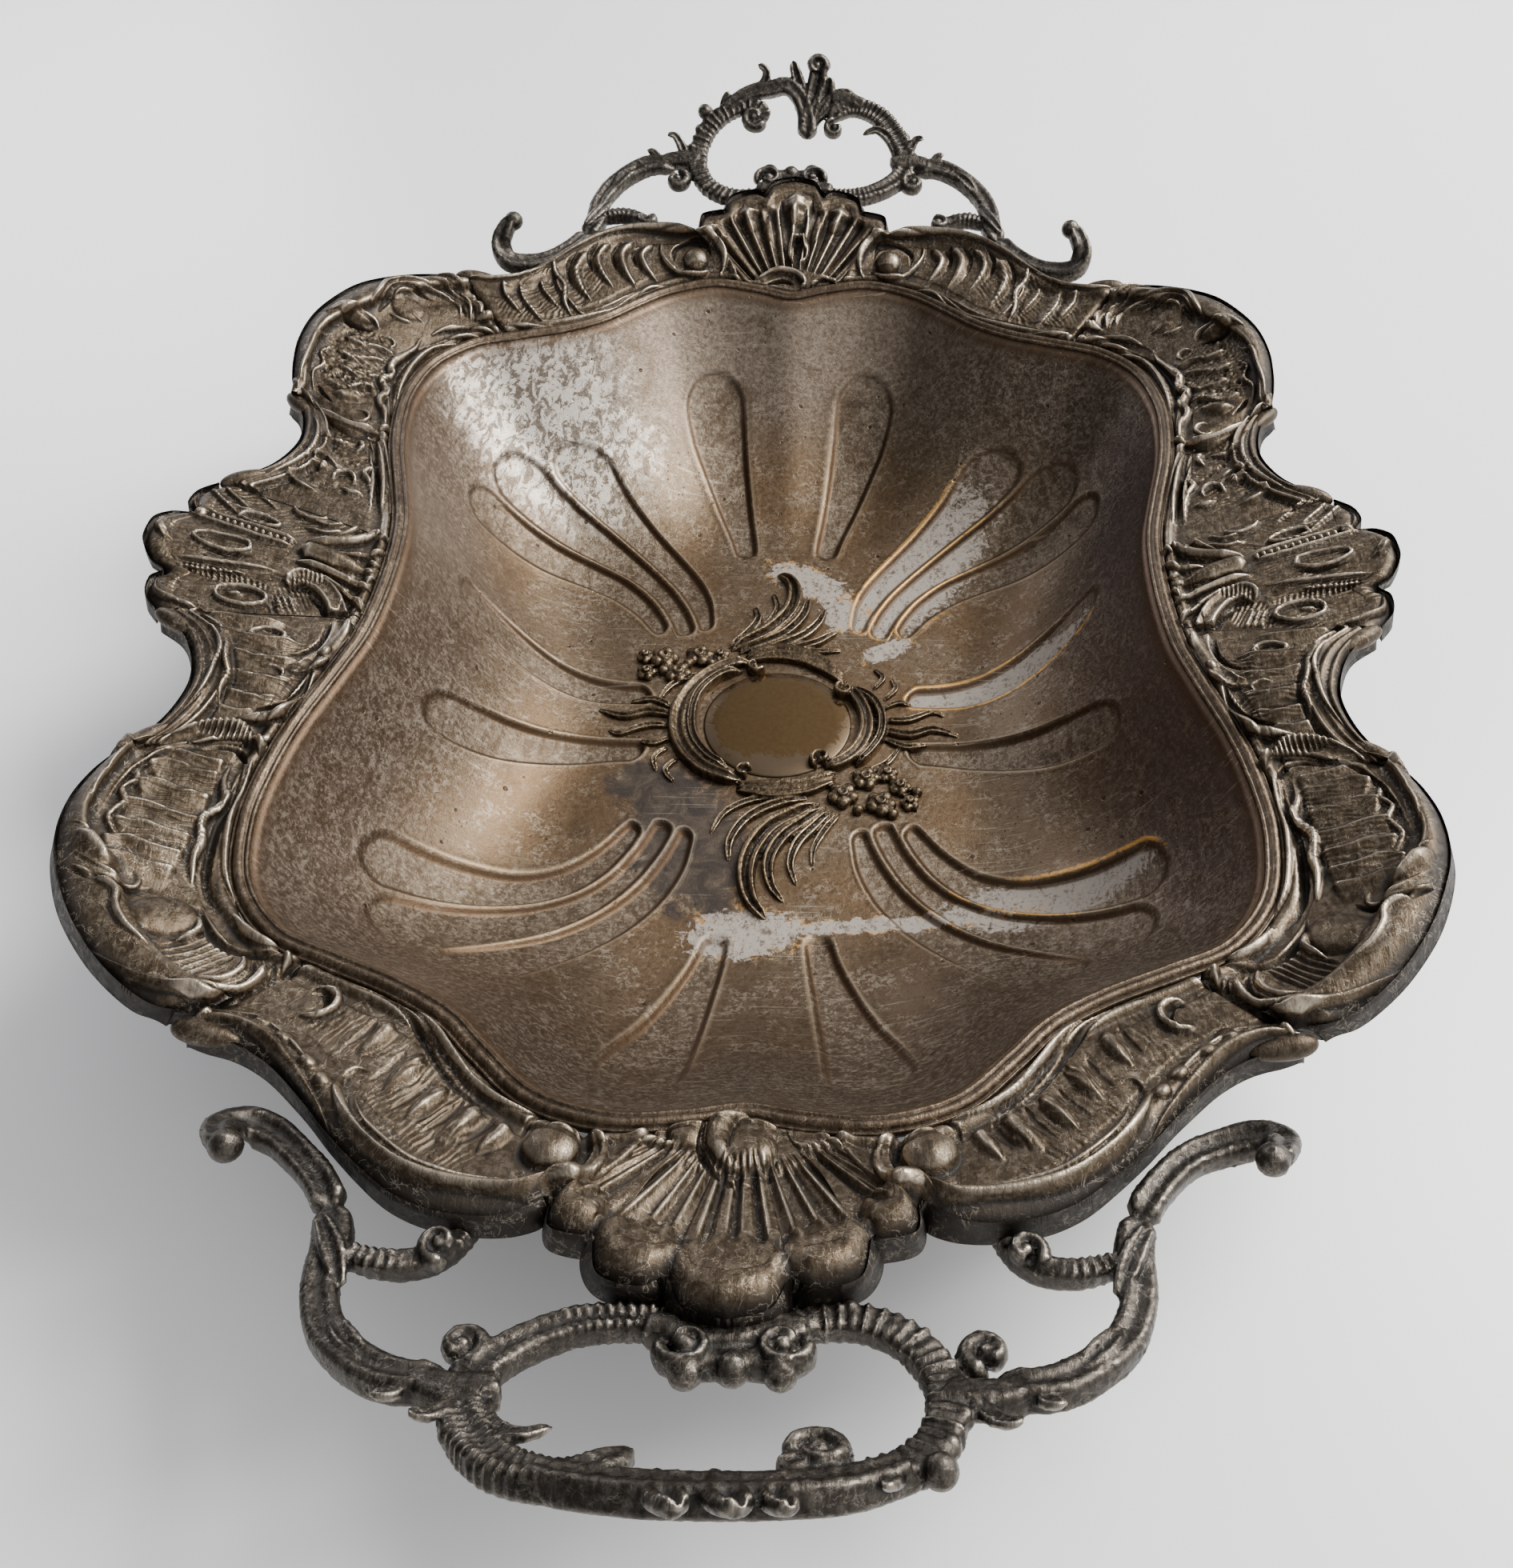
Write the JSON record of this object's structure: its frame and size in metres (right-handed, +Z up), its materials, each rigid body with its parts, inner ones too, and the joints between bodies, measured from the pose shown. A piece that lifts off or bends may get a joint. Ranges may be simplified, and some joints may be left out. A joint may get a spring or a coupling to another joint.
{
  "type": "two-handled vanity tray",
  "caption": "Deep fluted oblong vanity tray of plated metal with a scrolled rococo rim, a central plaque and two cast openwork handles.",
  "frame": {"origin": "centre of the flat underside the tray stands on", "axes": "+X across the tray to the right, +Y from the near handle to the far handle, +Z up out of the basin"},
  "size_m": [0.2712, 0.4092, 0.0831],
  "materials": {
    "basin_plate": "worn silver plate, warm grey-brown tarnish",
    "struck_mount": "silver plate with dark recesses and rubbed bright ridges",
    "bright_moulding": "rubbed silver plate",
    "plaque": "polished, warm brown tone",
    "cast_handle": "dark tarnished silver plate over a casting"
  },
  "bodies": {
    "root": {"basin": "basin_plate", "lip_bead": "bright_moulding", "plaque": "plaque", "cartouche": "bright_moulding", "side_shell_left": "struck_mount", "side_shell_right": "struck_mount", "end_shell_near": "struck_mount", "end_shell_far": "struck_mount", "side_scroll_left_near": "struck_mount", "side_scroll_left_far": "struck_mount", "side_scroll_right_near": "struck_mount", "side_scroll_right_far": "struck_mount", "corner_lobe_left_near": "struck_mount", "corner_lobe_left_far": "struck_mount", "corner_lobe_right_near": "struck_mount", "corner_lobe_right_far": "struck_mount", "end_volute_left_near": "struck_mount", "end_volute_left_far": "struck_mount", "end_volute_right_near": "struck_mount", "end_volute_right_far": "struck_mount", "handle_near": "cast_handle", "handle_far": "cast_handle"}
  },
  "joints": []
}
